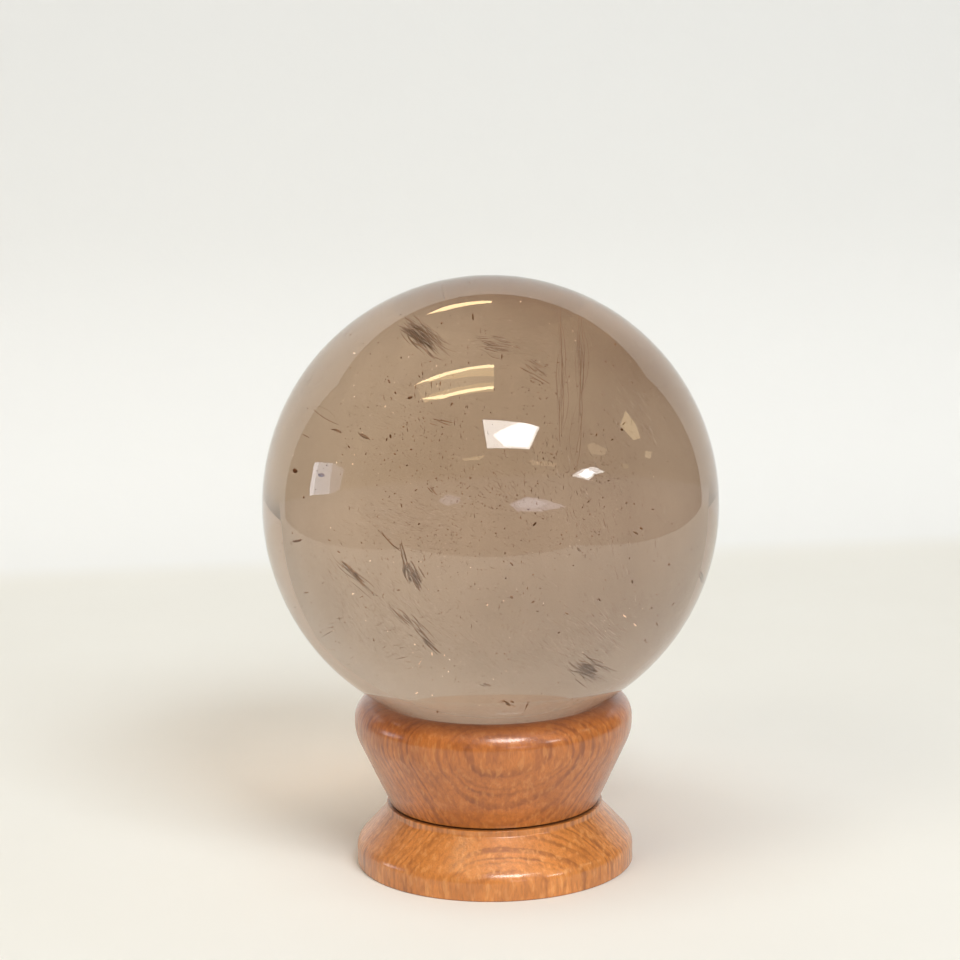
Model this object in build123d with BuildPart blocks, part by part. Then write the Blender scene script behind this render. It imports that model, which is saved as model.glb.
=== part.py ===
"""A polished quartz ball seated in a turned wooden stand.

The stand is one turned block: a foot with a straight band, a flare that rises to a narrow
collar, a scored waist, and a cup that opens out to a rounded lip. Its top is dished to the
ball's own curve, and the ball rests in that dish by its weight alone.

Millimetres, +Z up. The origin is the middle of the stand's underside, and +Z is the axis
that the stand was turned on, which also passes through the middle of the ball.
"""

import os
from math import sqrt

from build123d import *

# Ball
ball_diameter = 100.0
seat_clearance = 0.1  # between the ball and the dish it rests in

# Stand, radii
foot_radius = 30.8
collar_radius = 24.0
waist_step = 0.7  # how far the cup's lower edge stands in from the collar
score_depth = 0.7  # of the scored line, measured in from the cup's lower edge
lip_radius = 30.8
rim_width = 4.8  # from the widest part of the lip in to the edge of the dish

# Stand, heights, from the underside up
foot_band_height = 5.0
flare_rise = 7.4
collar_rise = 1.2
score_width = 0.5
cup_rise = 16.1
lip_band_height = 2.8
lip_roll_rise = 5.2

# Stand, rounded edges
foot_edge_round = 0.4
shoulder_round = 4.0
collar_round = 0.8
lip_round = 10.0
rim_round = 0.5

# What follows from those sizes
ball_radius = ball_diameter / 2
waist_radius = collar_radius - waist_step
score_radius = waist_radius - score_depth
seat_radius = lip_radius - rim_width

flare_top = foot_band_height + flare_rise
collar_top = flare_top + collar_rise
waist_height = collar_top + score_width
cup_top = waist_height + cup_rise
lip_widest = cup_top + lip_band_height
seat_height = lip_widest + lip_roll_rise

dish_radius = ball_radius + seat_clearance
ball_centre_height = seat_height + sqrt(dish_radius**2 - seat_radius**2)
dish_bottom = ball_centre_height - dish_radius


def round_corner(profile, radius_from_axis, height, rounding):
    """Round the one corner of a half profile that lies at this radius and height."""
    corner = profile.vertices().sort_by_distance((radius_from_axis, height))[0]
    fillet(corner, radius=rounding)


# The ball, cut and polished from one crystal
with BuildPart() as quartz_sphere:
    with Locations((0, 0, ball_centre_height)):
        Sphere(ball_radius)

# The stand, as a half profile turned about its own axis
with BuildPart() as turned_stand:
    with BuildSketch(Plane.XZ) as half_profile:
        with BuildLine():
            Polyline(
                (0, dish_bottom),
                (0, 0),
                (foot_radius, 0),
                (foot_radius, foot_band_height),
                (collar_radius, flare_top),
                (collar_radius, collar_top),
                (score_radius, collar_top + score_width / 2),
                (waist_radius, waist_height),
                (lip_radius, cup_top),
                (lip_radius, lip_widest),
            )
            TangentArc((lip_radius, lip_widest), (seat_radius, seat_height), tangent=(0, 1))
            RadiusArc((seat_radius, seat_height), (0, dish_bottom), dish_radius)
        make_face()
        round_corner(half_profile, foot_radius, 0, foot_edge_round)
        round_corner(half_profile, foot_radius, foot_band_height, shoulder_round)
        round_corner(half_profile, collar_radius, flare_top, collar_round)
        round_corner(half_profile, lip_radius, cup_top, lip_round)
        round_corner(half_profile, seat_radius, seat_height, rim_round)
    revolve(axis=Axis.Z)

os.makedirs("parts", exist_ok=True)

quartz_sphere.part.label = "quartz_sphere"
export_step(quartz_sphere.part, "parts/quartz_sphere.step")

turned_stand.part.label = "turned_stand"
export_step(turned_stand.part, "parts/turned_stand.step")
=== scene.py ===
"""The look of a polished smoky quartz ball in its turned wooden stand.

The ball is a clear, smoke-tinted solid with the crystal's own flecks, needles, veils and
growth lines modelled inside it. The stand is turned from one profile and finished as
lacquered hardwood. Metres, +Z up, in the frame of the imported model.
"""

import math
import random

import bmesh
import bpy
from bpy.props import FloatProperty, FloatVectorProperty, IntProperty, PointerProperty
from mathutils import Matrix, Vector


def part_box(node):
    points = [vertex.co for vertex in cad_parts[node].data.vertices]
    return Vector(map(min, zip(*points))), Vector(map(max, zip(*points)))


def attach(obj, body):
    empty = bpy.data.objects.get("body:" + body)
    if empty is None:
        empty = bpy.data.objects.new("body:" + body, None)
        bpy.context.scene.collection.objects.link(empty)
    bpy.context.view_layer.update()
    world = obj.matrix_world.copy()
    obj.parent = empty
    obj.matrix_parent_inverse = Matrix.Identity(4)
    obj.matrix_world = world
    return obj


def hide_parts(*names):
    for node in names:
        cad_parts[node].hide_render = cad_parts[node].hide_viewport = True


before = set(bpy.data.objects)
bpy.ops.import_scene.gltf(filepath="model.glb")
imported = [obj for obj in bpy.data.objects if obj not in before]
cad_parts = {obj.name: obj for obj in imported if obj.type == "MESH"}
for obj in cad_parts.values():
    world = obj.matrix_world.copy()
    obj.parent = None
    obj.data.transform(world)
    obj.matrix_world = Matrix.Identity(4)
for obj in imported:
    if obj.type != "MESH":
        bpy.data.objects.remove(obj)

bl_info = {
    "name": "Quartz sphere on a turned stand",
    "version": (1, 0, 0),
    "blender": (4, 5, 0),
    "location": "View3D > Sidebar > Quartz",
    "description": "Builds a smoky quartz ball, its inclusions, its wooden stand and a plain stage",
    "category": "Add Mesh",
}

BODY = "root"
MM = 0.001

ball_low, ball_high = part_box("quartz_sphere")
stand_low, stand_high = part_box("turned_stand")
BALL_RADIUS = (ball_high.z - ball_low.z) / 2
BALL_CENTRE = Vector((0, 0, (ball_high.z + ball_low.z) / 2))
FOOT_RADIUS = (stand_high.x - stand_low.x) / 2
PITH_DISTANCE = 0.16  # from the stand's axis back to the middle of the tree


# ---------------------------------------------------------------- sizes and colours


class BallSettings(bpy.types.PropertyGroup):
    refraction: FloatProperty(
        name="Refractive index", description="How strongly quartz bends light", default=1.544)
    smoke_colour: FloatVectorProperty(
        name="Smoke", description="Colour that the crystal lets through", subtype="COLOR",
        default=(0.715, 0.555, 0.385), min=0, max=1)
    smoke_density: FloatProperty(
        name="Smoke density", description="Absorption for each metre of crystal", default=21.5)
    # Painted shade: the crystal's tint goes from the clear tint to the smoky tint towards the right,
    # standing in for shade seen through it.
    unshaded_tint: FloatVectorProperty(
        name="Clear zone", description="Tint on the crystal's palest side", subtype="COLOR",
        default=(1.0, 1.0, 1.0), min=0, max=1)
    painted_shade_tint: FloatVectorProperty(
        name="Smoky zone", description="Tint on the crystal's darkest side", subtype="COLOR",
        default=(0.745, 0.73, 0.75), min=0, max=1)


class InclusionSettings(bpy.types.PropertyGroup):
    speck_count: IntProperty(
        name="Specks", description="Dark specks spread through the crystal", default=1300)
    # painted glints: near-white chips that glow, though they are no lamp
    glint_count: IntProperty(
        name="Glints", description="Tiny bright fracture faces", default=260)
    speck_size: FloatProperty(
        name="Speck size", description="Radius of a middling speck", unit="LENGTH", default=0.078 * MM)
    fleck_colour: FloatVectorProperty(
        name="Fleck", description="Colour of specks and needles", subtype="COLOR",
        default=(0.13, 0.085, 0.055), min=0, max=1)
    veil_colour: FloatVectorProperty(
        name="Veil", description="Colour of the dark fibres in a healed crack", subtype="COLOR",
        default=(0.22, 0.165, 0.13), min=0, max=1)
    pearl_colour: FloatVectorProperty(
        name="Pearl", description="Colour of the pale fibres in a healed crack", subtype="COLOR",
        default=(0.60, 0.59, 0.60), min=0, max=1)


class StandSettings(bpy.types.PropertyGroup):
    foot_band: FloatProperty(
        name="Foot band", description="Height of the upright band at the foot", unit="LENGTH",
        default=5.0 * MM)
    flare_rise: FloatProperty(
        name="Flare rise", description="Height of the sloping flare", unit="LENGTH", default=7.4 * MM)
    collar_rise: FloatProperty(
        name="Collar rise", description="Height of the collar under the scored line", unit="LENGTH",
        default=1.2 * MM)
    collar_inset: FloatProperty(
        name="Collar inset", description="How far the collar stands in from the foot", unit="LENGTH",
        default=6.8 * MM)
    waist_step: FloatProperty(
        name="Waist step", description="How far the cup's lower edge stands in from the collar",
        unit="LENGTH", default=0.7 * MM)
    score: FloatProperty(
        name="Scored line", description="Depth of the scored line", unit="LENGTH", default=0.7 * MM)
    score_width: FloatProperty(
        name="Score width", description="Width of the scored line", unit="LENGTH", default=0.5 * MM)
    cup_rise: FloatProperty(
        name="Cup rise", description="Height of the cup's straight side", unit="LENGTH",
        default=16.1 * MM)
    lip_band: FloatProperty(
        name="Lip band", description="Height of the lip below its widest line", unit="LENGTH",
        default=2.8 * MM)
    lip_roll: FloatProperty(
        name="Lip roll", description="Height of the rounded top of the lip", unit="LENGTH",
        default=5.2 * MM)
    rim_width: FloatProperty(
        name="Rim width", description="From the lip's widest line in to the dish", unit="LENGTH",
        default=4.8 * MM)
    seat_clearance: FloatProperty(
        name="Seat clearance", description="Between the ball and the dish", unit="LENGTH",
        default=0.1 * MM)
    early_wood: FloatVectorProperty(
        name="Early wood", description="Colour between the growth rings", subtype="COLOR",
        default=(0.70, 0.255, 0.052), min=0, max=1)
    late_wood: FloatVectorProperty(
        name="Late wood", description="Colour of the growth rings", subtype="COLOR",
        default=(0.29, 0.082, 0.018), min=0, max=1)
    ring_spacing: FloatProperty(
        name="Ring spacing", description="Width of one year's growth", unit="LENGTH",
        default=1.45 * MM)


class StageSettings(bpy.types.PropertyGroup):
    camera_distance: FloatProperty(
        name="Camera distance", description="From the stand's axis, along the floor", unit="LENGTH",
        default=644.0 * MM)
    camera_height: FloatProperty(
        name="Camera height", description="Above the floor", unit="LENGTH", default=215.0 * MM)
    camera_pan: FloatProperty(
        name="Camera pan", description="Turn to the right", subtype="ANGLE", default=-0.0035)
    camera_tilt: FloatProperty(
        name="Camera tilt", description="Turn downwards", subtype="ANGLE", default=0.1973)
    camera_roll: FloatProperty(
        name="Camera roll", description="Turn about its own line of sight", subtype="ANGLE",
        default=-0.0135)
    lens: FloatProperty(name="Lens", description="Focal length in millimetres", default=112.5)
    paper_colour: FloatVectorProperty(
        name="Paper", description="Colour of the floor and the sweep", subtype="COLOR",
        default=(0.84, 0.825, 0.775), min=0, max=1)
    wall_colour: FloatVectorProperty(
        name="Wall", description="Colour at the foot of the wall", subtype="COLOR",
        default=(0.855, 0.855, 0.84), min=0, max=1)
    # painted shade: the wall's colour higher up is darker than at its foot
    shaded_high_wall_colour: FloatVectorProperty(
        name="High wall", description="Colour higher up the wall", subtype="COLOR",
        default=(0.765, 0.77, 0.765), min=0, max=1)
    backdrop_colour: FloatVectorProperty(
        name="Background", description="Colour far behind the object", subtype="COLOR",
        default=(0.885, 0.875, 0.845), min=0, max=1)
    room_colour: FloatVectorProperty(
        name="Room", description="Dim room that the polish mirrors", subtype="COLOR",
        default=(0.075, 0.062, 0.05), min=0, max=1)


# ---------------------------------------------------------------- shader helpers


def new_material(name):
    """An empty node material."""
    material = bpy.data.materials.new(name)
    material.use_nodes = True
    material.node_tree.nodes.clear()
    return material


def add_node(tree, kind, inputs=None, **settings):
    """A node with its settings made and its inputs set, or linked where a socket is given."""
    node = tree.nodes.new(kind)
    for key, value in settings.items():
        setattr(node, key, value)
    for key, value in (inputs or {}).items():
        if isinstance(value, bpy.types.NodeSocket):
            tree.links.new(value, node.inputs[key])
        else:
            node.inputs[key].default_value = value
    return node


def calc(tree, operation, first, second=0.0, third=0.0, clamp=False):
    """The result of one Math node."""
    inputs = {0: first, 1: second, 2: third}
    node = add_node(tree, "ShaderNodeMath", inputs, operation=operation, use_clamp=clamp)
    return node.outputs[0]


def blend_colours(tree, factor, below, above, mode="MIX"):
    """Two colours mixed by a factor."""
    node = add_node(tree, "ShaderNodeMix", data_type="RGBA", blend_type=mode)
    for index, value in ((0, factor), (6, below), (7, above)):
        if isinstance(value, bpy.types.NodeSocket):
            tree.links.new(value, node.inputs[index])
        else:
            node.inputs[index].default_value = value
    return node.outputs[2]


def ramp(tree, factor, stops):
    """A grey ramp through (position, level) stops."""
    node = add_node(tree, "ShaderNodeValToRGB", {"Fac": factor})
    elements = node.color_ramp.elements
    while len(elements) > 1:
        elements.remove(elements[0])
    for index, (position, level) in enumerate(stops):
        element = elements[0] if index == 0 else elements.new(position)
        element.position = position
        element.color = (level, level, level, 1)
    return node.outputs["Color"]


def object_place(tree, scale=(1, 1, 1), turn=(0, 0, 0), shift=(0, 0, 0)):
    """Object coordinates through a Mapping node."""
    coordinates = add_node(tree, "ShaderNodeTexCoord")
    mapping = add_node(tree, "ShaderNodeMapping", {
        "Vector": coordinates.outputs["Object"],
        "Location": shift, "Rotation": turn, "Scale": scale})
    return mapping.outputs["Vector"]


def noise(tree, place, scale=1.0, detail=2.0, roughness=0.5):
    """A noise value at a place."""
    node = add_node(tree, "ShaderNodeTexNoise", {
        "Vector": place, "Scale": scale, "Detail": detail, "Roughness": roughness})
    return node.outputs["Fac"]


def line_noise(tree, value):
    """A noise value along one line."""
    node = add_node(tree, "ShaderNodeTexNoise", {"W": value, "Scale": 1.0}, noise_dimensions="1D")
    return node.outputs["Fac"]


def rgba(colour):
    """A colour property with full alpha."""
    return (*colour, 1.0)


def lighter(colour, times):
    """A colour property made so many times lighter, with full alpha."""
    return rgba([min(1, channel * times) for channel in colour])


def mottle_group():
    """Soft uneven tone, shared by the crystal, its inclusions, the wood and the paper."""
    if "mottle" in bpy.data.node_groups:
        return bpy.data.node_groups["mottle"]
    group = bpy.data.node_groups.new("mottle", "ShaderNodeTree")
    for name, kind in (("Vector", "NodeSocketVector"), ("Scale", "NodeSocketFloat"),
                       ("Dark", "NodeSocketColor"), ("Light", "NodeSocketColor"),
                       ("Contrast", "NodeSocketFloat")):
        group.interface.new_socket(name, in_out="INPUT", socket_type=kind)
    group.interface.new_socket("Color", in_out="OUTPUT", socket_type="NodeSocketColor")
    group.interface.new_socket("Mask", in_out="OUTPUT", socket_type="NodeSocketFloat")
    source = add_node(group, "NodeGroupInput")
    value = add_node(group, "ShaderNodeTexNoise", {
        "Vector": source.outputs["Vector"], "Scale": source.outputs["Scale"],
        "Detail": 3.0, "Roughness": 0.55}).outputs["Fac"]
    centred = calc(group, "SUBTRACT", value, 0.5)
    spread = calc(group, "MULTIPLY", centred, source.outputs["Contrast"])
    mask = calc(group, "ADD", spread, 0.5, clamp=True)
    colour = blend_colours(group, mask, source.outputs["Dark"], source.outputs["Light"])
    add_node(group, "NodeGroupOutput", {"Color": colour, "Mask": mask})
    return group


def mottle(tree, place, scale, dark, light, contrast):
    """A mottle group placed in a material with its own values."""
    node = add_node(tree, "ShaderNodeGroup", node_tree=mottle_group())
    tree.links.new(place, node.inputs["Vector"])
    node.inputs["Scale"].default_value = scale
    node.inputs["Dark"].default_value = dark
    node.inputs["Light"].default_value = light
    node.inputs["Contrast"].default_value = contrast
    return node.outputs


# ---------------------------------------------------------------- mesh helpers


def finish_piece(name, mesh_builder, material, slot=None, smooth=True):
    """A finished object from a bmesh, at the origin, riding on the model's one body when a slot is given."""
    mesh = bpy.data.meshes.new(name)
    mesh_builder.to_mesh(mesh)
    mesh_builder.free()
    mesh.materials.append(material)
    mesh.polygons.foreach_set("use_smooth", [smooth] * len(mesh.polygons))
    piece = bpy.data.objects.new(name, mesh)
    bpy.context.scene.collection.objects.link(piece)
    if slot:
        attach(piece, BODY)
    return piece


def arc_points(centre, radius, start, end, steps):
    """Points along an arc in the (radius, height) half plane, angles in radians."""
    points = []
    for step in range(steps + 1):
        angle = start + (end - start) * step / steps
        points.append((centre[0] + radius * math.cos(angle), centre[1] + radius * math.sin(angle)))
    return points


def rounded(outline, steps=8):
    """An outline of (radius, height, rounding) corners, with each rounded corner an arc."""
    points = []
    for index, (x, z, rounding) in enumerate(outline):
        if not rounding:
            points.append((x, z))
            continue
        corner = Vector((x, z))
        before = (Vector(outline[index - 1][:2]) - corner).normalized()
        after = (Vector(outline[index + 1][:2]) - corner).normalized()
        half = before.angle(after) / 2
        centre = corner + (before + after).normalized() * (rounding / math.sin(half))
        first = corner + before * (rounding / math.tan(half)) - centre
        last = corner + after * (rounding / math.tan(half)) - centre
        start = math.atan2(first.y, first.x)
        turn = (math.atan2(last.y, last.x) - start + math.pi) % (2 * math.pi) - math.pi
        points += arc_points(centre, rounding, start, start + turn, steps)
    return points


# ---------------------------------------------------------------- lines of sight through the ball


def camera_axes(stage):
    """The camera's place and its right, up and forward directions."""
    pan, tilt, roll = stage.camera_pan, stage.camera_tilt, stage.camera_roll
    forward = Vector((math.sin(pan) * math.cos(tilt), math.cos(pan) * math.cos(tilt), -math.sin(tilt)))
    level = Vector((math.cos(pan), -math.sin(pan), 0))
    above = level.cross(forward)
    right = level * math.cos(roll) + above * math.sin(roll)
    up = above * math.cos(roll) - level * math.sin(roll)
    place = Vector((0, -stage.camera_distance, stage.camera_height))
    return place, right, up, forward


def surface_point(across, rise):
    """Where the front view meets the ball, and the view's direction there.

    across and rise are in shares of the ball's outline, from its middle.
    """
    place, right, up, _ = camera_axes(bpy.context.scene.quartz_stage)
    to_ball = BALL_CENTRE - place
    ahead = to_ball.normalized()
    side = (right - ahead * right.dot(ahead)).normalized()
    top = side.cross(ahead)
    edge = math.asin(BALL_RADIUS / to_ball.length)
    reach = to_ball.length * math.tan(edge)
    ray = (to_ball + side * across * reach + top * rise * reach).normalized()
    middle = to_ball.dot(ray)
    half_chord = math.sqrt(max(BALL_RADIUS**2 - to_ball.length_squared + middle**2, 0))
    return place + ray * (middle - half_chord), ray


def inside_point(across, rise, depth):
    """A point that is seen there through the ball's face, at a depth along the bent ray."""
    point, ray = surface_point(across, rise)
    normal = (point - BALL_CENTRE).normalized()
    ratio = 1 / bpy.context.scene.quartz_ball.refraction
    slant = -normal.dot(ray)
    bent = ray * ratio + normal * (ratio * slant - math.sqrt(1 - ratio**2 * (1 - slant**2)))
    return point + bent * depth


def mirrored_point(across, rise, distance):
    """A point in the room whose reflection is seen there on the ball."""
    point, ray = surface_point(across, rise)
    normal = (point - BALL_CENTRE).normalized()
    return point + (ray - normal * 2 * ray.dot(normal)) * distance


# ---------------------------------------------------------------- the ball


def quartz_material(settings):
    """Smoky quartz: a tinted glass with faint cloudy growth zones, its tint darkened to one side as painted
    shade.
    """
    material = new_material("smoky_quartz")
    tree = material.node_tree
    across = add_node(tree, "ShaderNodeSeparateXYZ", {"Vector": object_place(tree, turn=(0, -0.2, 0))})
    # painted shade: the tint darkens towards the right
    zone = add_node(tree, "ShaderNodeMapRange", {
        "Value": across.outputs["X"], "From Min": -0.6 * BALL_RADIUS, "From Max": 0.2 * BALL_RADIUS})
    tint = blend_colours(tree, zone.outputs["Result"], rgba(settings.unshaded_tint), rgba(settings.painted_shade_tint))
    place = object_place(tree, scale=(1, 1, 0.35), turn=(0.2, 0.5, 0.3))
    cloud = mottle(tree, place, 70.0, (0.85, 0.83, 0.825, 1), (1, 1, 1, 1), 3.0)
    tint = blend_colours(tree, 1.0, tint, cloud["Color"], "MULTIPLY")
    shader = add_node(tree, "ShaderNodeBsdfPrincipled", {
        "Base Color": tint, "Roughness": 0.0, "IOR": settings.refraction,
        "Transmission Weight": 1.0})
    smoke = add_node(tree, "ShaderNodeVolumeAbsorption", {
        "Color": rgba(settings.smoke_colour), "Density": settings.smoke_density})
    add_node(tree, "ShaderNodeOutputMaterial", {
        "Surface": shader.outputs["BSDF"], "Volume": smoke.outputs["Volume"]})
    return material


class MESH_OT_quartz_ball(bpy.types.Operator):
    """Make the polished ball and show it in place of the plain one"""

    bl_idname = "mesh.quartz_ball"
    bl_label = "Quartz ball"

    def execute(self, context):
        work = bmesh.new()
        bmesh.ops.create_icosphere(
            work, subdivisions=7, radius=BALL_RADIUS, matrix=Matrix.Translation(BALL_CENTRE))
        ball = finish_piece("ball", work, quartz_material(context.scene.quartz_ball), "quartz")
        ball.visible_shadow = False  # the stage's tinted shade casts the ball's shadow
        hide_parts("quartz_sphere")
        return {"FINISHED"}


# ---------------------------------------------------------------- inside the ball


# A mark with this many fibres or fewer has them at full length.
FEW_FIBRES = 4

# Each mark: name, from (across, rise), to (across, rise), depth in mm, width in mm,
# how many fibres, how far they stray in mm, and whose tone they take.
MARKS = (
    ("upper_feather", (-0.385, 0.80), (-0.19, 0.64), 9.0, 0.30, 90, 2.2, "veil"),
    ("feather_core", (-0.35, 0.77), (-0.20, 0.64), 9.0, 0.34, 14, 1.6, "fleck"),
    ("upper_smudge", (-0.06, 0.71), (0.12, 0.67), 12.0, 0.22, 34, 2.0, "veil"),
    ("long_line_left", (0.300, 0.87), (0.305, 0.09), 16.0, 0.13, 16, 0.4, "veil"),
    ("long_line_right", (0.385, 0.85), (0.365, 0.08), 16.0, 0.14, 20, 0.3, "veil"),
    ("left_needle", (-0.79, 0.425), (-0.65, 0.335), 3.5, 0.34, 2, 0.1, "fleck"),
    ("left_needle_head", (-0.70, 0.325), (-0.645, 0.305), 3.5, 0.75, 2, 0.1, "fleck"),
    ("left_needle_end", (-0.58, 0.31), (-0.52, 0.275), 4.0, 0.65, 3, 0.15, "fleck"),
    ("top_crumbs", (0.115, 0.64), (0.31, 0.51), 14.0, 0.24, 12, 2.4, "fleck"),
    ("middle_crumbs", (-0.275, 0.36), (-0.15, 0.33), 12.0, 0.24, 7, 0.8, "fleck"),
    ("middle_streak", (-0.28, 0.095), (-0.22, 0.035), 10.0, 0.30, 5, 0.5, "fleck"),
    ("wedge", (-0.66, -0.24), (-0.51, -0.395), 4.0, 0.62, 7, 0.35, "fleck"),
    ("wedge_veil", (-0.70, -0.22), (-0.47, -0.42), 5.0, 0.26, 18, 1.2, "veil"),
    ("short_needle", (-0.49, -0.115), (-0.40, -0.21), 7.0, 0.26, 4, 0.4, "fleck"),
    ("steep_needle", (-0.40, -0.14), (-0.33, -0.45), 8.0, 0.28, 8, 0.6, "fleck"),
    ("steep_patch", (-0.37, -0.26), (-0.30, -0.38), 8.0, 0.46, 40, 1.2, "veil"),
    ("low_streak_a", (-0.43, -0.45), (-0.30, -0.56), 9.0, 0.26, 12, 1.2, "veil"),
    ("low_streak_b", (-0.36, -0.50), (-0.205, -0.675), 9.0, 0.28, 14, 1.2, "veil"),
    ("low_streak_core", (-0.30, -0.585), (-0.215, -0.665), 9.0, 0.30, 4, 0.4, "fleck"),
    ("right_edge", (0.905, -0.27), (0.935, -0.40), 1.5, 0.50, 6, 0.4, "fleck"),
    ("bottom_knot", (0.05, -0.86), (0.11, -0.89), 4.0, 0.40, 14, 0.8, "fleck"),
    ("bottom_crumb", (-0.04, -0.785), (0.0, -0.80), 5.0, 0.30, 4, 0.4, "fleck"),
    ("low_right_smudge", (0.36, -0.68), (0.52, -0.77), 6.0, 0.24, 60, 2.6, "veil"),
    ("low_right_core", (0.40, -0.72), (0.47, -0.75), 6.0, 0.26, 6, 1.0, "fleck"),
    ("single_a", (0.085, -0.255), (0.10, -0.27), 9.0, 0.42, 2, 0.2, "fleck"),
    ("single_b", (0.085, -0.405), (0.10, -0.415), 9.0, 0.38, 2, 0.2, "fleck"),
    ("single_c", (0.62, -0.125), (0.645, -0.14), 6.0, 0.34, 2, 0.2, "fleck"),
    ("single_d", (0.38, -0.19), (0.40, -0.21), 8.0, 0.34, 2, 0.2, "fleck"),
    ("single_e", (-0.875, -0.165), (-0.87, -0.185), 2.0, 0.34, 2, 0.2, "fleck"),
)

# Each veil: name, its middle (across, rise), half size (across, rise), depth in mm, slope in
# degrees, length of a fibre in mm, how many.
VEILS = (
    ("low_left_fan", (-0.55, -0.52), (0.19, 0.20), 8.0, -58, 1.8, 520),
    ("low_left_sweep", (-0.33, -0.50), (0.15, 0.17), 12.0, -44, 2.0, 400),
    ("low_right_fan", (0.45, -0.60), (0.20, 0.14), 9.0, -42, 2.0, 480),
    ("left_scratches", (-0.40, -0.07), (0.24, 0.08), 9.0, -17, 2.0, 320),
    ("upper_right_rays", (0.62, 0.42), (0.12, 0.16), 9.0, -58, 1.8, 150),
    ("middle_haze", (-0.02, -0.05), (0.36, 0.32), 20.0, -28, 1.3, 800),
    ("top_haze", (0.12, 0.70), (0.28, 0.08), 16.0, -8, 1.7, 260),
    ("right_haze", (0.50, -0.05), (0.24, 0.28), 20.0, -70, 1.6, 320),
    ("low_haze", (0.05, -0.68), (0.30, 0.12), 12.0, -35, 1.5, 300),
    ("upper_left_haze", (-0.42, 0.40), (0.24, 0.22), 12.0, -30, 1.2, 480),
)

# Shares of a veil's fibres that are dark and pearly; the rest are left out.
DARK_SHARE, PEARLY_SHARE = 0.5, 0.3

# Each crowd of specks: middle (across, rise), reach in mm, depth in mm, how many.
CROWDS = (
    ((-0.26, 0.33), 4.0, 12.0, 70), ((0.20, 0.57), 4.5, 14.0, 60), ((-0.42, 0.20), 7.0, 14.0, 110),
    ((-0.12, 0.08), 7.0, 16.0, 100), ((0.08, 0.02), 5.0, 18.0, 50), ((-0.58, 0.36), 3.0, 5.0, 20),
    ((-0.30, -0.20), 6.0, 10.0, 60), ((0.02, -0.84), 5.0, 6.0, 40), ((0.45, -0.12), 7.0, 14.0, 40),
    ((-0.70, -0.60), 5.0, 4.0, 24), ((-0.45, 0.55), 5.0, 10.0, 40),
)


def fibre(work, start, end, width, draw):
    """A thin flat sliver from start to end, tapered to both ends and a little bent."""
    along = end - start
    spin = Matrix.Rotation(draw.uniform(0, math.tau), 4, "Z")
    flat = Matrix.Diagonal((width / 2, width / 6, along.length / 2, 1))
    aim = along.to_track_quat("Z", "Y").to_matrix().to_4x4()
    place = Matrix.Translation((start + end) / 2) @ aim @ spin @ flat
    made = bmesh.ops.create_uvsphere(work, u_segments=5, v_segments=6, radius=1.0, matrix=place)
    bow = Vector([draw.gauss(0, 0.05) for _ in range(3)]) * along.length
    middle = (start + end) / 2
    for vertex in made["verts"]:
        share = (vertex.co - middle).dot(along) / along.length_squared * 2
        vertex.co += bow * (1 - share * share)


def speck(work, place, size, draw):
    """A small angular chip."""
    tilt = Matrix.Rotation(draw.uniform(0, math.tau), 4, Vector([draw.gauss(0, 1) for _ in range(3)]))
    shape = Matrix.Diagonal([size * draw.uniform(0.3, 1.1), size * draw.uniform(0.5, 1.2),
                             size * draw.uniform(0.8, 2.6), 1])
    bmesh.ops.create_icosphere(
        work, subdivisions=1, radius=1.0, matrix=Matrix.Translation(place) @ tilt @ shape)


def chip_pattern():
    """The smallest spindle, one unit in radius, as a mesh to copy many times."""
    work = bmesh.new()
    bmesh.ops.create_uvsphere(work, u_segments=4, v_segments=2, radius=1.0)
    pattern = bpy.data.meshes.new("chip_pattern")
    work.to_mesh(pattern)
    work.free()
    return pattern


def spindle(work, pattern, middle, along, width):
    """A very fine straight fibre."""
    aim = along.to_track_quat("Z", "Y").to_matrix().to_4x4()
    shape = Matrix.Diagonal((width / 2, width / 4, along.length / 2, 1))
    copy = pattern.copy()
    copy.transform(Matrix.Translation(middle) @ aim @ shape)
    work.from_mesh(copy)
    bpy.data.meshes.remove(copy)


def scatter_veil(work, middle, side, rise, spread, along, count, draw):
    """Fibres scattered over a loose, slightly dished sheet."""
    across_reach, rise_reach = spread
    face = side.cross(rise)
    pattern = chip_pattern()
    for _ in range(count):
        a, b = draw.gauss(0, 0.6), draw.gauss(0, 0.6)
        place = middle + side * across_reach * a + rise * rise_reach * b
        place += face * (draw.gauss(0, 1.6 * MM) + 2.5 * MM * (a * a - b * b))
        tilt = stray(draw, 0.16 * along.length)
        length = draw.uniform(0.35, 1.25)
        width = draw.uniform(0.05, 0.14) * MM
        spindle(work, pattern, held_in(place, 5 * MM), (along + tilt) * length, width)
    bpy.data.meshes.remove(pattern)


def front_veils(work, share, draw):
    """The veils that show from the front, with a share of each one's fibres."""
    _, right, up, _ = camera_axes(bpy.context.scene.quartz_stage)
    for _, middle, spread, depth, slope, length, count in VEILS:
        angle = math.radians(slope)
        along = (right * math.cos(angle) + up * math.sin(angle)) * length * MM
        reach = [BALL_RADIUS * half for half in spread]
        scatter_veil(work, inside_point(*middle, depth * MM), right, up, reach, along,
                     round(count * share), draw)


def deep_veils(work, sheets, count, draw):
    """Veils at any place and slant, for the sides and the back."""
    for _ in range(sheets):
        side = stray(draw, 1).normalized()
        rise = side.cross(stray(draw, 1)).normalized()
        along = (side + stray(draw, 0.2)) * draw.uniform(0.7, 1.5) * MM
        reach = (draw.uniform(6, 12) * MM, draw.uniform(4, 9) * MM)
        scatter_veil(work, random_inside(draw, 0.55), side, rise, reach, along, count, draw)


def stray(draw, reach):
    """A random small offset."""
    return Vector([draw.gauss(0, reach) for _ in range(3)])


def held_in(point, margin=1.2 * MM):
    """The point, drawn in so that it stays inside the crystal."""
    offset = point - BALL_CENTRE
    limit = BALL_RADIUS - margin
    if offset.length > limit:
        offset *= limit / offset.length
    return BALL_CENTRE + offset


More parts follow.
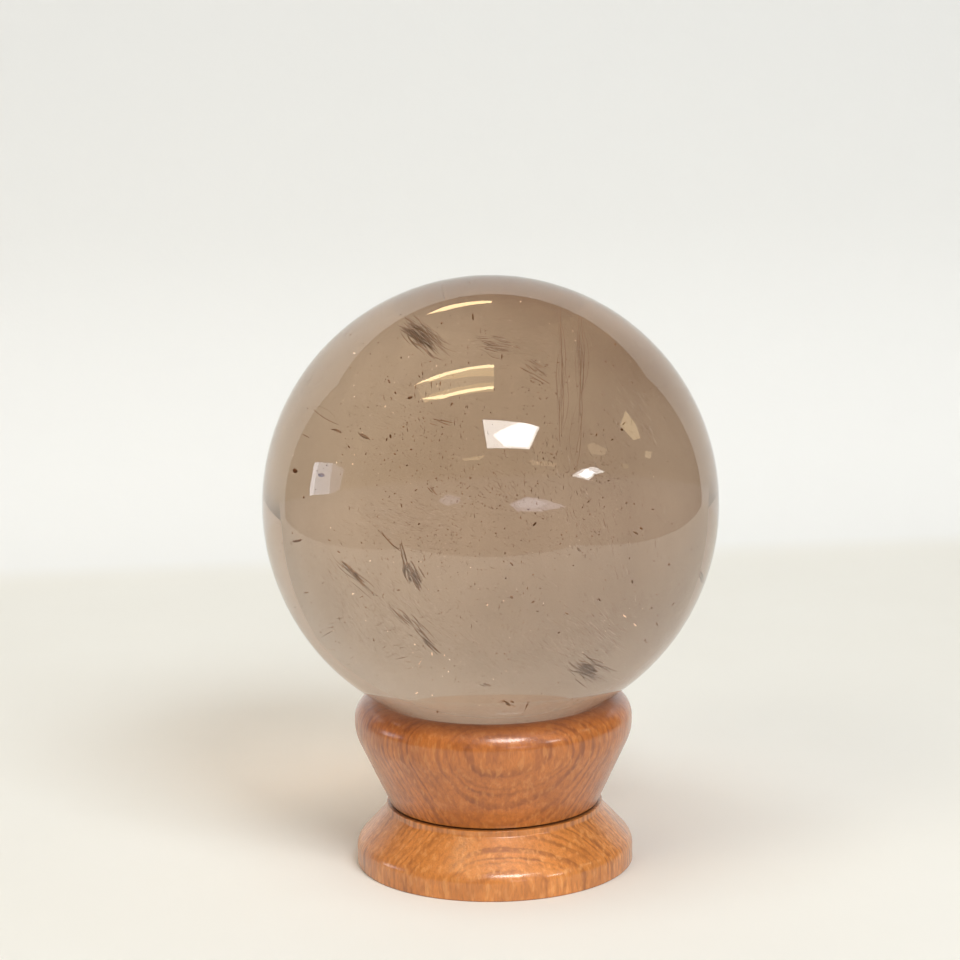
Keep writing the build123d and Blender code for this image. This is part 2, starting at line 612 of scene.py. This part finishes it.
def drawn_marks(kind, draw):
    """A mesh of the fibres of every mark of one tone."""
    work = bmesh.new()
    for _, first, last, depth, width, count, reach, shade in MARKS:
        if shade != kind:
            continue
        start, end = inside_point(*first, depth * MM), inside_point(*last, depth * MM)
        full_length = count <= FEW_FIBRES
        for _ in range(count):
            low = draw.uniform(0, 0.12 if full_length else 0.55)
            high = draw.uniform(0.88, 1) if full_length else low + draw.uniform(0.25, 0.45)
            offset = stray(draw, reach * MM * 0.5)
            turn = stray(draw, reach * MM * 0.2)
            tail = held_in(start.lerp(end, low) + offset)
            tip = held_in(start.lerp(end, high) + offset + turn)
            fibre(work, tail, tip, width * MM * draw.uniform(0.45, 1.15), draw)
    return work


def random_inside(draw, fill=0.97):
    """A random point in the crystal."""
    direction = Vector([draw.gauss(0, 1) for _ in range(3)]).normalized()
    return BALL_CENTRE + direction * BALL_RADIUS * fill * draw.random() ** (1 / 3)


def chip_material(name, dark, light, roughness, glow=0.0):
    """Mineral chips and fibres: a mottled mid tone with a little gloss, and a glow, if given, that paints a
    glint.
    """
    material = new_material(name)
    tree = material.node_tree
    tone = mottle(tree, object_place(tree), 900.0, dark, light, 2.5)
    shader = add_node(tree, "ShaderNodeBsdfPrincipled", {
        "Base Color": tone["Color"], "Roughness": roughness,
        "Emission Color": (1.0, 0.97, 0.92, 1), "Emission Strength": glow})
    add_node(tree, "ShaderNodeOutputMaterial", {"Surface": shader.outputs["BSDF"]})
    return material


class MESH_OT_quartz_inclusions(bpy.types.Operator):
    """Make the specks, needles, veils and glints that lie inside the crystal"""

    bl_idname = "mesh.quartz_inclusions"
    bl_label = "Inclusions"

    def execute(self, context):
        settings = context.scene.quartz_inclusions
        draw = random.Random(41)
        fleck = chip_material(
            "dark_flecks", rgba(settings.fleck_colour), lighter(settings.fleck_colour, 3), 0.5)
        veil = chip_material(
            "healed_crack", rgba(settings.veil_colour), lighter(settings.veil_colour, 1.8), 0.6)
        pearl = chip_material(
            "pearly_crack", rgba(settings.pearl_colour), lighter(settings.pearl_colour, 1.3), 0.4)
        # painted glint: a near-white material that glows though it is no lamp
        bright = chip_material("painted_glint_faces", (0.8, 0.78, 0.74, 1), (1, 0.99, 0.97, 1), 0.15, glow=1.2)

        finish_piece("needles", drawn_marks("fleck", draw), fleck, "quartz")

        work = drawn_marks("veil", draw)
        front_veils(work, DARK_SHARE, draw)
        deep_veils(work, sheets=8, count=80, draw=draw)
        finish_piece("veils", work, veil, "quartz")

        work = bmesh.new()
        front_veils(work, PEARLY_SHARE, draw)
        finish_piece("pearly_veils", work, pearl, "quartz")

        places = [random_inside(draw) for _ in range(settings.speck_count)]
        for middle, reach, depth, count in CROWDS:
            heart = inside_point(*middle, depth * MM)
            places += [held_in(heart + stray(draw, reach * MM * 0.6)) for _ in range(count)]
        work = bmesh.new()
        for place in places:
            size = settings.speck_size * min(draw.lognormvariate(0, 0.45), 1.7)
            speck(work, place, size, draw)
        finish_piece("specks", work, fleck, "quartz", smooth=False)

        work = bmesh.new()
        for _ in range(settings.glint_count):
            speck(work, random_inside(draw), settings.speck_size * draw.uniform(0.4, 0.9), draw)
        finish_piece("glints", work, bright, "quartz", smooth=False)
        return {"FINISHED"}


# ---------------------------------------------------------------- the stand


def growth_years(tree, settings):
    """How many growth rings lie between a place and the middle of the tree, with their waves."""
    place = object_place(tree, turn=(0.03, 0.0, math.radians(-9)))
    wander = noise(tree, object_place(tree, scale=(45, 45, 14)), detail=1.0)
    waver = noise(tree, object_place(tree, scale=(420, 420, 160)), detail=2.0)
    axes = add_node(tree, "ShaderNodeSeparateXYZ", {"Vector": place})
    depth = calc(tree, "ADD", axes.outputs["Y"], PITH_DISTANCE)
    squares = calc(tree, "ADD", calc(tree, "MULTIPLY", depth, depth),
                   calc(tree, "MULTIPLY", axes.outputs["X"], axes.outputs["X"]))
    bent = calc(tree, "ADD", calc(tree, "SQRT", squares), calc(tree, "MULTIPLY", wander, 6.0 * MM))
    bent = calc(tree, "ADD", bent, calc(tree, "MULTIPLY", waver, 0.75 * MM))
    years = calc(tree, "DIVIDE", bent, settings.ring_spacing)
    uneven = line_noise(tree, calc(tree, "MULTIPLY", years, 0.45))
    return calc(tree, "ADD", years, calc(tree, "MULTIPLY", uneven, 1.8))


def late_wood_mask(tree, years, dashes):
    """Where the wood is dark late wood: rings of uneven strength, broken into dashes."""
    ring = ramp(tree, calc(tree, "FRACT", years),
                ((0.0, 0.45), (0.14, 0.08), (0.5, 0.0), (0.76, 0.75), (0.9, 1.0), (1.0, 0.45)))
    vigour = line_noise(tree, calc(tree, "MULTIPLY", calc(tree, "FLOOR", years), 0.73))
    patches = noise(tree, object_place(tree, scale=(75, 75, 55), shift=(0.3, 0.1, 0)), detail=2.5)
    strength = calc(tree, "MULTIPLY", ramp(tree, patches, ((0.36, 0.2), (0.52, 0.6), (0.66, 1.3))),
                    ramp(tree, vigour, ((0.35, 0.35), (0.62, 1.5))))
    late = calc(tree, "MULTIPLY", ring, strength, clamp=True)
    return calc(tree, "MULTIPLY", late, ramp(tree, dashes, ((0.35, 0.55), (0.6, 1.1))), clamp=True)


def colour_with_painted_shade(tree, colour, score_height, seat_height):
    """The wood's colour with painted shade: a near-black scored groove, a darker, browner cup and a dark
    band under the ball.
    """
    height = add_node(tree, "ShaderNodeSeparateXYZ", {"Vector": object_place(tree)}).outputs["Z"]
    # painted shade: the scored groove is painted near black
    from_score = calc(tree, "ABSOLUTE", calc(tree, "SUBTRACT", height, score_height))
    groove_shade = add_node(tree, "ShaderNodeMapRange", {
        "Value": from_score, "From Min": 0.10 * MM, "From Max": 0.26 * MM, "To Min": 0.85, "To Max": 0.0})
    colour = blend_colours(tree, groove_shade.outputs["Result"], colour, (0.05, 0.018, 0.008, 1))
    # painted shade: the cup is painted darker and browner than the foot
    cup = add_node(tree, "ShaderNodeMapRange", {
        "Value": height, "From Min": score_height, "From Max": score_height + 1.0 * MM})
    shaded_cup_colour = blend_colours(tree, 1.0, colour, (0.80, 0.69, 0.57, 1), "MULTIPLY")
    colour = blend_colours(tree, cup.outputs["Result"], colour, shaded_cup_colour)
    # painted shade: a dark band on the lip up to the ball's seat, where the ball shades it
    seat_shade = add_node(tree, "ShaderNodeMapRange", {
        "Value": height, "From Min": seat_height - 2.6 * MM, "From Max": seat_height, "To Max": 0.72})
    return blend_colours(tree, seat_shade.outputs["Result"], colour, (0.13, 0.035, 0.010, 1))


def wood_material(settings, score_height, seat_height):
    """Lacquered hardwood, its growth rings nearly upright sheets that face the front."""
    material = new_material("lacquered_wood")
    tree = material.node_tree
    dashes = noise(tree, object_place(tree, scale=(950, 950, 330)), detail=1.0)
    late = late_wood_mask(tree, growth_years(tree, settings), dashes)
    flecks = ramp(tree, dashes, ((0.55, 0.0), (0.64, 1.0)))
    pale_dashes = ramp(tree, dashes, ((0.33, 1.0), (0.44, 0.0)))
    grain = noise(tree, object_place(tree, scale=(3600, 3600, 700)), detail=2)
    pores = ramp(tree, grain, ((0.35, 1.0), (0.55, 0.0)))
    place = object_place(tree, scale=(1, 1, 0.6))
    tone = mottle(tree, place, 95.0, (0.80, 0.74, 0.66, 1), (1.14, 1.14, 1.12, 1), 2.4)

    early, dark = rgba(settings.early_wood), rgba(settings.late_wood)
    colour = blend_colours(tree, calc(tree, "MULTIPLY", late, 0.68, clamp=True), early, dark)
    colour = blend_colours(tree, calc(tree, "MULTIPLY", flecks, 0.24), colour, dark)
    colour = blend_colours(tree, calc(tree, "MULTIPLY", pale_dashes, 0.34), colour, (0.92, 0.46, 0.16, 1))
    colour = blend_colours(tree, calc(tree, "MULTIPLY", pores, 0.20), colour, dark)
    colour = blend_colours(tree, 1.0, colour, tone["Color"], "MULTIPLY")
    colour = colour_with_painted_shade(tree, colour, score_height, seat_height)

    relief = calc(tree, "SUBTRACT", calc(tree, "MULTIPLY", late, 0.4), calc(tree, "MULTIPLY", pores, 0.6))
    bump = add_node(tree, "ShaderNodeBump", {"Strength": 0.35, "Distance": 0.12 * MM, "Height": relief})
    gloss = ramp(tree, noise(tree, object_place(tree), scale=180.0), ((0.3, 0.36), (0.7, 0.50)))
    shader = add_node(tree, "ShaderNodeBsdfPrincipled", {
        "Base Color": colour, "Roughness": gloss, "Normal": bump.outputs["Normal"],
        "IOR": 1.5, "Coat Weight": 0.85, "Coat Roughness": 0.17})
    add_node(tree, "ShaderNodeOutputMaterial", {"Surface": shader.outputs["BSDF"]})
    return material


def stand_profile(settings):
    """The half profile, from the middle of the underside to the dish's, and the score's height."""
    foot = FOOT_RADIUS
    collar = foot - settings.collar_inset
    waist = collar - settings.waist_step
    flare_top = settings.foot_band + settings.flare_rise
    collar_top = flare_top + settings.collar_rise
    waist_height = collar_top + settings.score_width
    cup_top = waist_height + settings.cup_rise
    widest = cup_top + settings.lip_band
    seat_height = widest + settings.lip_roll
    seat = foot - settings.rim_width
    outline = [
        (0, 0, 0),
        (foot, 0, 0.4 * MM),
        (foot, settings.foot_band, 4.0 * MM),
        (collar, flare_top, 0.8 * MM),
        (collar, collar_top, 0.12 * MM),
        (waist - settings.score, collar_top + settings.score_width / 2, 0),
        (waist, waist_height, 0.12 * MM),
        (foot, cup_top, 10.0 * MM),
        (foot, widest, 0),
    ]
    points = rounded(outline)
    inset = foot - seat
    roll = (inset**2 + settings.lip_roll**2) / (2 * inset)
    end = math.asin(settings.lip_roll / roll) if roll > settings.lip_roll else math.pi / 2
    if seat < foot - roll:
        end = math.pi - end
    points += arc_points((foot - roll, widest), roll, 0, end, 24)[1:]
    dish = BALL_RADIUS + settings.seat_clearance
    rim_angle = math.asin(seat / dish)
    middle = (0, seat_height + math.sqrt(dish**2 - seat**2))
    points += arc_points(middle, dish, rim_angle - math.pi / 2, -math.pi / 2, 24)[1:]
    return points, collar_top + settings.score_width / 2


class MESH_OT_turned_stand(bpy.types.Operator):
    """Turn the stand from its half profile and give it its lacquered wood"""

    bl_idname = "mesh.turned_stand"
    bl_label = "Turned stand"

    def execute(self, context):
        settings = context.scene.turned_stand
        points, score_height = stand_profile(settings)
        seat_height = max(height for _, height in points)
        work = bmesh.new()
        vertices = [work.verts.new((radius, 0, height)) for radius, height in points]
        edges = [work.edges.new(pair) for pair in zip(vertices, vertices[1:])]
        bmesh.ops.spin(work, geom=vertices + edges, cent=(0, 0, 0), axis=(0, 0, 1),
                       angle=math.tau, steps=288, use_merge=True)
        bmesh.ops.remove_doubles(work, verts=work.verts, dist=0.002 * MM)
        bmesh.ops.recalc_face_normals(work, faces=work.faces)
        stand = finish_piece("stand", work, wood_material(settings, score_height, seat_height), "wood")
        stand.data.set_sharp_from_angle(angle=math.radians(40))
        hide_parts("turned_stand")
        return {"FINISHED"}


# ---------------------------------------------------------------- the stage


def paper_material(settings):
    """Pale paper, whiter at the foot of the wall with painted shade darkening it higher up, and clear from
    behind so that it hides nothing.
    """
    material = new_material("pale_paper")
    tree = material.node_tree
    red, green, blue = settings.paper_colour
    shade = (red * 0.975, green * 0.97, blue * 0.96, 1)
    tone = mottle(tree, object_place(tree), 14.0, shade, rgba(settings.paper_colour), 1.6)
    height = add_node(tree, "ShaderNodeSeparateXYZ", {"Vector": object_place(tree)}).outputs["Z"]
    climb = add_node(tree, "ShaderNodeMapRange", {
        "Value": height, "From Min": 0.15 * MM, "From Max": 2.2 * MM})
    # painted shade: the wall darkens with height
    wall_shade = add_node(tree, "ShaderNodeMapRange", {
        "Value": height, "From Min": 20 * MM, "From Max": 190 * MM})
    low_wall, shaded_high_wall = rgba(settings.wall_colour), rgba(settings.shaded_high_wall_colour)
    wall = blend_colours(tree, wall_shade.outputs["Result"], low_wall, shaded_high_wall)
    colour = blend_colours(tree, climb.outputs["Result"], tone["Color"], wall)
    fine = noise(tree, object_place(tree), scale=900.0, detail=2)
    bump = add_node(tree, "ShaderNodeBump", {"Strength": 0.12, "Distance": 0.2 * MM, "Height": fine})
    paper = add_node(tree, "ShaderNodeBsdfPrincipled", {
        "Base Color": colour, "Roughness": 0.9, "Normal": bump.outputs["Normal"],
        "Specular IOR Level": 0.2})
    clear = add_node(tree, "ShaderNodeBsdfTransparent")
    behind = add_node(tree, "ShaderNodeNewGeometry").outputs["Backfacing"]
    either = add_node(tree, "ShaderNodeMixShader", {
        0: behind, 1: paper.outputs["BSDF"], 2: clear.outputs["BSDF"]})
    add_node(tree, "ShaderNodeOutputMaterial", {"Surface": either.outputs["Shader"]})
    return material


def glow_material(name, colour, strength):
    """A plain glowing panel."""
    material = new_material(name)
    tree = material.node_tree
    glow = add_node(tree, "ShaderNodeEmission", {"Color": colour, "Strength": strength})
    add_node(tree, "ShaderNodeOutputMaterial", {"Surface": glow.outputs["Emission"]})
    return material


# How far the panels stand from the ball in metres, a bright heart nearer than its panel.
NEAR, MIDWAY, FAR = 1.9, 2.0, 2.1

WHITE = (1.0, 1.0, 1.0, 1)
TUBE_GLOW = (1.0, 0.82, 0.46, 1)
LAMP_GLOW = (1.0, 0.72, 0.34, 1)
PATCH_GLOW = (1.0, 0.80, 0.50, 1)
LILAC = (0.84, 0.82, 1.0, 1)

# Each panel: name, distance, colour, strength, and its corners as mirrored on the ball.
PANELS = (
    ("ceiling_window", MIDWAY, (1.0, 0.99, 0.96, 1), 11.0,
     ((-0.035, 0.365), (0.215, 0.335), (0.17, 0.235), (-0.015, 0.24))),
    ("window_heart", NEAR, WHITE, 20.0,
     ((0.01, 0.3), (0.13, 0.355), (0.205, 0.335), (0.165, 0.245), (0.06, 0.25))),
    ("lamp_a_core", NEAR, TUBE_GLOW, 16.0,
     ((-0.34, 0.515), (-0.25, 0.555), (-0.12, 0.59), (0.015, 0.607), (0.015, 0.595), (-0.13, 0.575),
      (-0.25, 0.54))),
    ("lamp_a", MIDWAY, LAMP_GLOW, 4.5,
     ((-0.335, 0.515), (-0.13, 0.58), (0.015, 0.6), (0.015, 0.555), (-0.16, 0.545))),
    ("lamp_b_core", NEAR, TUBE_GLOW, 18.0,
     ((-0.31, 0.455), (-0.2, 0.475), (-0.06, 0.505), (0.015, 0.513), (0.015, 0.5), (-0.1, 0.485),
      (-0.22, 0.455))),
    ("lamp_b", MIDWAY, LAMP_GLOW, 4.0,
     ((-0.3, 0.46), (-0.1, 0.515), (0.015, 0.53), (0.015, 0.49), (-0.12, 0.475), (-0.29, 0.44))),
    ("lamp_tray", FAR, (1.0, 0.76, 0.44, 1), 1.5,
     ((-0.33, 0.51), (0.015, 0.58), (0.015, 0.5), (-0.3, 0.46))),
    ("rear_lamp", MIDWAY, (1.0, 0.76, 0.4, 1), 9.0,
     ((-0.28, 0.825), (-0.2, 0.86), (-0.12, 0.877), (0.005, 0.886), (0.005, 0.876), (-0.12, 0.862),
      (-0.2, 0.843))),
    ("side_window", MIDWAY, (0.76, 0.84, 1.0, 1), 3.4,
     ((-0.765, 0.18), (-0.69, 0.175), (-0.705, 0.04), (-0.79, 0.035))),
    ("window_frame", NEAR, (0.86, 0.9, 1.0, 1), 5.5,
     ((-0.768, 0.18), (-0.75, 0.18), (-0.775, 0.035), (-0.792, 0.035))),
    ("side_curtain", MIDWAY, (0.78, 0.83, 1.0, 1), 1.6,
     ((-0.69, 0.175), (-0.64, 0.15), (-0.66, 0.06), (-0.705, 0.04))),
    ("far_lamp", MIDWAY, (1.0, 0.78, 0.44, 1), 3.4,
     ((0.59, 0.405), (0.635, 0.345), (0.655, 0.285), (0.625, 0.275), (0.565, 0.34))),
    ("small_window", MIDWAY, WHITE, 9.0,
     ((0.355, 0.12), (0.4, 0.15), (0.45, 0.16), (0.5, 0.137), (0.455, 0.125), (0.43, 0.1))),
    ("small_heart", NEAR, WHITE, 22.0,
     ((0.385, 0.125), (0.42, 0.15), (0.455, 0.135), (0.42, 0.108))),
    ("soft_patch_a", MIDWAY, (1.0, 0.78, 0.5, 1), 2.0,
     ((0.42, 0.255), (0.45, 0.265), (0.51, 0.235), (0.5, 0.21), (0.44, 0.215))),
    ("soft_patch_d", MIDWAY, PATCH_GLOW, 2.6,
     ((0.675, 0.23), (0.705, 0.225), (0.7, 0.195), (0.675, 0.2))),
    ("soft_patch_e", MIDWAY, PATCH_GLOW, 1.4,
     ((0.57, 0.175), (0.605, 0.17), (0.6, 0.15), (0.575, 0.155))),
    ("soft_patch_b", MIDWAY, (1.0, 0.78, 0.45, 1), 3.0,
     ((-0.13, 0.195), (-0.02, 0.21), (-0.05, 0.19), (-0.11, 0.185))),
    ("soft_patch_c", MIDWAY, (1.0, 0.8, 0.52, 1), 2.0,
     ((0.17, 0.19), (0.29, 0.175), (0.28, 0.16), (0.18, 0.168))),
    ("lilac_patch", MIDWAY, LILAC, 2.6,
     ((0.08, -0.005), (0.16, 0.03), (0.24, 0.015), (0.33, -0.015), (0.22, -0.035), (0.12, -0.035))),
    ("lilac_heart", NEAR, (0.86, 0.86, 1.0, 1), 4.0,
     ((0.11, 0.005), (0.17, 0.022), (0.25, 0), (0.2, -0.022), (0.13, -0.018))),
    ("lilac_dot", MIDWAY, LILAC, 1.8,
     ((-0.23, 0.01), (-0.19, 0.04), (-0.13, 0.025), (-0.14, 0), (-0.19, -0.01))),
)


def add_panel(name, distance, colour, strength, corners):
    """A panel that only the polish can see."""
    work = bmesh.new()
    vertices = [work.verts.new(mirrored_point(*corner, distance)) for corner in corners]
    work.faces.new(vertices)
    panel = finish_piece(name, work, glow_material(name, colour, strength), smooth=False)
    panel.visible_camera = False
    panel.visible_diffuse = False
    panel.visible_transmission = False
    panel.visible_shadow = False


# Each lamp: name, place in metres, size (across, up) in metres, watts, colour.
LAMPS = (
    ("window_lamp", (0.42, -0.86, 0.93), (0.55, 0.34), 10.6, (0.97, 0.985, 1.0)),
    ("left_lamp", (-0.62, -0.70, 0.96), (0.42, 0.42), 2.8, (1.0, 0.85, 0.64)),
    ("strip_lamp", (-0.14, -0.34, 1.3), (0.8, 0.5), 5.7, (0.985, 0.98, 0.93)),
)
LAMP_TARGET = Vector((0, 0, 0.06))


def add_lamp(name, place, size, power, colour):
    """A soft lamp aimed at the lower half of the ball, unseen by the camera and the polish."""
    data = bpy.data.lights.new(name, "AREA")
    data.shape = "RECTANGLE"
    data.size, data.size_y = size
    data.energy = power
    data.color = colour
    lamp = bpy.data.objects.new(name, data)
    lamp.location = place
    lamp.rotation_euler = (LAMP_TARGET - Vector(place)).to_track_quat("-Z", "Y").to_euler()
    lamp.visible_camera = False
    lamp.visible_glossy = False
    bpy.context.scene.collection.objects.link(lamp)


def add_shade(tint):
    """A clear brown ball that only shadows see, so that light passes tinted through the quartz."""
    work = bmesh.new()
    bmesh.ops.create_icosphere(
        work, subdivisions=4, radius=0.985 * BALL_RADIUS, matrix=Matrix.Translation(BALL_CENTRE))
    material = new_material("tinted_shade")
    clear = add_node(material.node_tree, "ShaderNodeBsdfTransparent", {"Color": tint})
    add_node(material.node_tree, "ShaderNodeOutputMaterial", {"Surface": clear.outputs["BSDF"]})
    shade = finish_piece("shade", work, material)
    shade.visible_camera = False
    shade.visible_diffuse = False
    shade.visible_glossy = False
    shade.visible_transmission = False


def light_world(settings):
    """Pale where the camera or the glass looks out, dim where the polish mirrors the room."""
    world = bpy.data.worlds.new("studio")
    world.use_nodes = True
    tree = world.node_tree
    tree.nodes.clear()
    path = add_node(tree, "ShaderNodeLightPath")
    soft = add_node(tree, "ShaderNodeBackground", {"Color": (0.93, 0.975, 1.0, 1), "Strength": 0.22})
    pale = add_node(tree, "ShaderNodeBackground", {"Color": rgba(settings.backdrop_colour), "Strength": 1.0})
    room = add_node(tree, "ShaderNodeBackground", {"Color": rgba(settings.room_colour), "Strength": 1.0})
    seen = calc(tree, "MAXIMUM", path.outputs["Is Camera Ray"], path.outputs["Is Transmission Ray"])
    first = add_node(tree, "ShaderNodeMixShader", {
        0: path.outputs["Is Glossy Ray"], 1: soft.outputs[0], 2: room.outputs[0]})
    last = add_node(tree, "ShaderNodeMixShader", {0: seen, 1: first.outputs[0], 2: pale.outputs[0]})
    add_node(tree, "ShaderNodeOutputWorld", {"Surface": last.outputs[0]})
    bpy.context.scene.world = world


def add_sheet(name, profile, left, right, material):
    """A sheet from a profile of (y, z) points, between two x values, facing up."""
    work = bmesh.new()
    vertices = [work.verts.new((left, y, z)) for y, z in profile]
    edges = [work.edges.new(pair) for pair in zip(vertices, vertices[1:])]
    made = bmesh.ops.extrude_edge_only(work, edges=edges)
    moved = [item for item in made["geom"] if isinstance(item, bmesh.types.BMVert)]
    bmesh.ops.translate(work, verts=moved, vec=(right - left, 0, 0))
    work.normal_update()
    if work.faces[:][0].normal.z < 0:
        bmesh.ops.reverse_faces(work, faces=work.faces)
    sheet = finish_piece(name, work, material)
    return sheet


def add_sweep(paper):
    """The sheet that the stand is on, bent up into a wall, wider and a little skewed at the back."""
    front, bend_start, bend, wall_top = -0.36, 0.285, 0.10, 0.46
    widening, skew = 0.9, 0.11
    curve = arc_points((bend_start, bend), bend, -math.pi / 2, 0, 15)
    profile = [(front, 0)] + curve + [(bend_start + bend, wall_top)]
    sweep = add_sheet("sweep", profile, -0.29, 0.31, paper)
    half_way = bend_start / 2
    for vertex in sweep.data.vertices:
        opening = max(vertex.co.y - half_way, 0) / (half_way + bend)
        vertex.co.x *= 1 + widening * opening
        if vertex.co.y > 0:
            vertex.co.y += skew * vertex.co.x


def add_camera(settings):
    """The camera that the front view is taken with."""
    place, right, up, forward = camera_axes(settings)
    data = bpy.data.cameras.new("camera")
    data.lens = settings.lens
    data.sensor_width = 36.0
    data.clip_start, data.clip_end = 0.01, 30
    camera = bpy.data.objects.new("camera", data)
    camera.matrix_world = Matrix((right, up, -forward)).transposed().to_4x4()
    camera.location = place
    bpy.context.scene.collection.objects.link(camera)
    bpy.context.scene.camera = camera


class SCENE_OT_quartz_stage(bpy.types.Operator):
    """Lay the floor and the sweep, hang the lamps and place the camera"""

    bl_idname = "scene.quartz_stage"
    bl_label = "Stage"

    def execute(self, context):
        settings = context.scene.quartz_stage
        paper = paper_material(settings)
        add_sweep(paper)
        drop = 0.4 * MM
        floor = add_sheet("floor", [(-1.1, -drop), (1.1, -drop)], -1.1, 1.1, paper)
        floor.visible_glossy = False
        for panel in PANELS:
            add_panel(*panel)
        for lamp in LAMPS:
            add_lamp(*lamp)
        add_shade((0.40, 0.27, 0.15, 1))
        light_world(settings)
        add_camera(settings)
        context.scene.view_settings.view_transform = "Standard"
        return {"FINISHED"}


# ---------------------------------------------------------------- add-on


class VIEW3D_PT_quartz(bpy.types.Panel):
    bl_label = "Quartz sphere"
    bl_idname = "VIEW3D_PT_quartz"
    bl_space_type = "VIEW_3D"
    bl_region_type = "UI"
    bl_category = "Quartz"

    def draw(self, context):
        scene = context.scene
        sections = (
            (MESH_OT_quartz_ball, scene.quartz_ball),
            (MESH_OT_quartz_inclusions, scene.quartz_inclusions),
            (MESH_OT_turned_stand, scene.turned_stand),
            (SCENE_OT_quartz_stage, scene.quartz_stage),
        )
        for operator, settings in sections:
            column = self.layout.column(align=True)
            column.operator(operator.bl_idname)
            for name in settings.__annotations__:
                column.prop(settings, name)


SETTINGS = {
    "quartz_ball": BallSettings,
    "quartz_inclusions": InclusionSettings,
    "turned_stand": StandSettings,
    "quartz_stage": StageSettings,
}
OPERATORS = (MESH_OT_quartz_ball, MESH_OT_quartz_inclusions, MESH_OT_turned_stand, SCENE_OT_quartz_stage)


def register():
    for name, settings in SETTINGS.items():
        bpy.utils.register_class(settings)
        setattr(bpy.types.Scene, name, PointerProperty(type=settings))
    for operator in OPERATORS:
        bpy.utils.register_class(operator)
    bpy.utils.register_class(VIEW3D_PT_quartz)


def unregister():
    bpy.utils.unregister_class(VIEW3D_PT_quartz)
    for operator in reversed(OPERATORS):
        bpy.utils.unregister_class(operator)
    for name, settings in SETTINGS.items():
        delattr(bpy.types.Scene, name)
        bpy.utils.unregister_class(settings)


def main():
    register()
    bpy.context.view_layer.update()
    bpy.ops.mesh.quartz_ball()
    bpy.ops.mesh.quartz_inclusions()
    bpy.ops.mesh.turned_stand()
    bpy.ops.scene.quartz_stage()


if __name__ == "__main__":
    main()
